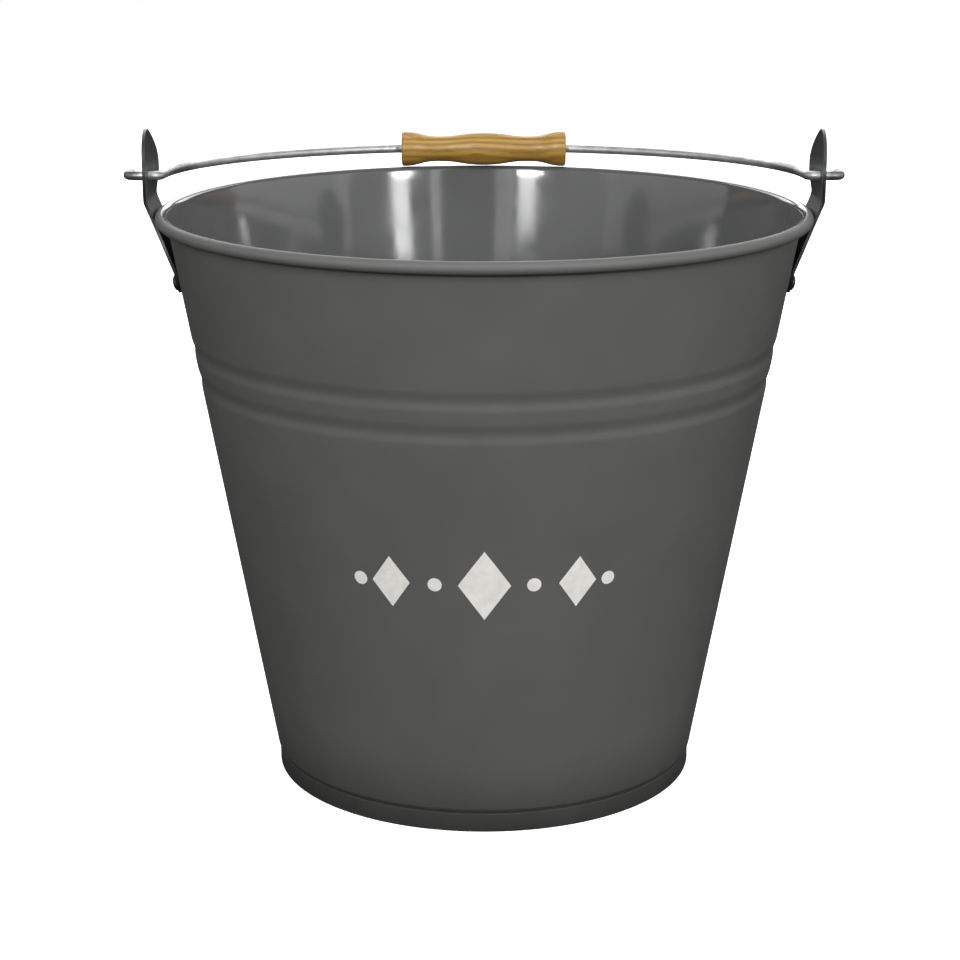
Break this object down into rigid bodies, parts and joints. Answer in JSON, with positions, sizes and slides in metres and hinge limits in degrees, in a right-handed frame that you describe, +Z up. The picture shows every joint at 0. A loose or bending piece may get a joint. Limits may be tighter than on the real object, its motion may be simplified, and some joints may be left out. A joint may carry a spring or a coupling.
{
  "type": "coal scuttle",
  "caption": "Round tapered steel coal bucket with a rolled rim, ringed wall, folded foot seam, riveted ears and a wire bail that swings and carries a turned wooden grip.",
  "frame": {"origin": "on the floor under the middle of the bucket", "axes": "+Z up, +X along the bail's pivot axis through the right-hand ear, -Y the front, +Y the side that the bail lies back on"},
  "size_m": [0.3488, 0.3163, 0.3185],
  "materials": {
    "painted_steel": "warm dark grey, satin stove paint",
    "wire": "drawn, zinc-plated wire",
    "turned_wood": "turned and varnished, golden"
  },
  "bodies": {
    "bucket": {"body_shell": "painted_steel", "rim_wire": "wire", "base_pan": "painted_steel", "ear_right": "painted_steel", "ear_left": "painted_steel", "rivet_right_front": "painted_steel", "rivet_right_rear": "painted_steel", "rivet_left_front": "painted_steel", "rivet_left_rear": "painted_steel"},
    "bail": {"bail_wire": "wire"},
    "grip": {"wood_grip": "turned_wood"}
  },
  "joints": [
    {"name": "bail_swing", "type": "hinge", "parent": "bucket", "child": "bail", "pos_m": [0, 0, 0.296], "axis": [1, 0, 0], "range_deg": [0, 184.08]},
    {"name": "grip_spin", "type": "hinge", "parent": "bail", "child": "grip", "pos_m": [0, 0.14893, 0.2907], "axis": [1, 0, 0], "continuous": true}
  ]
}
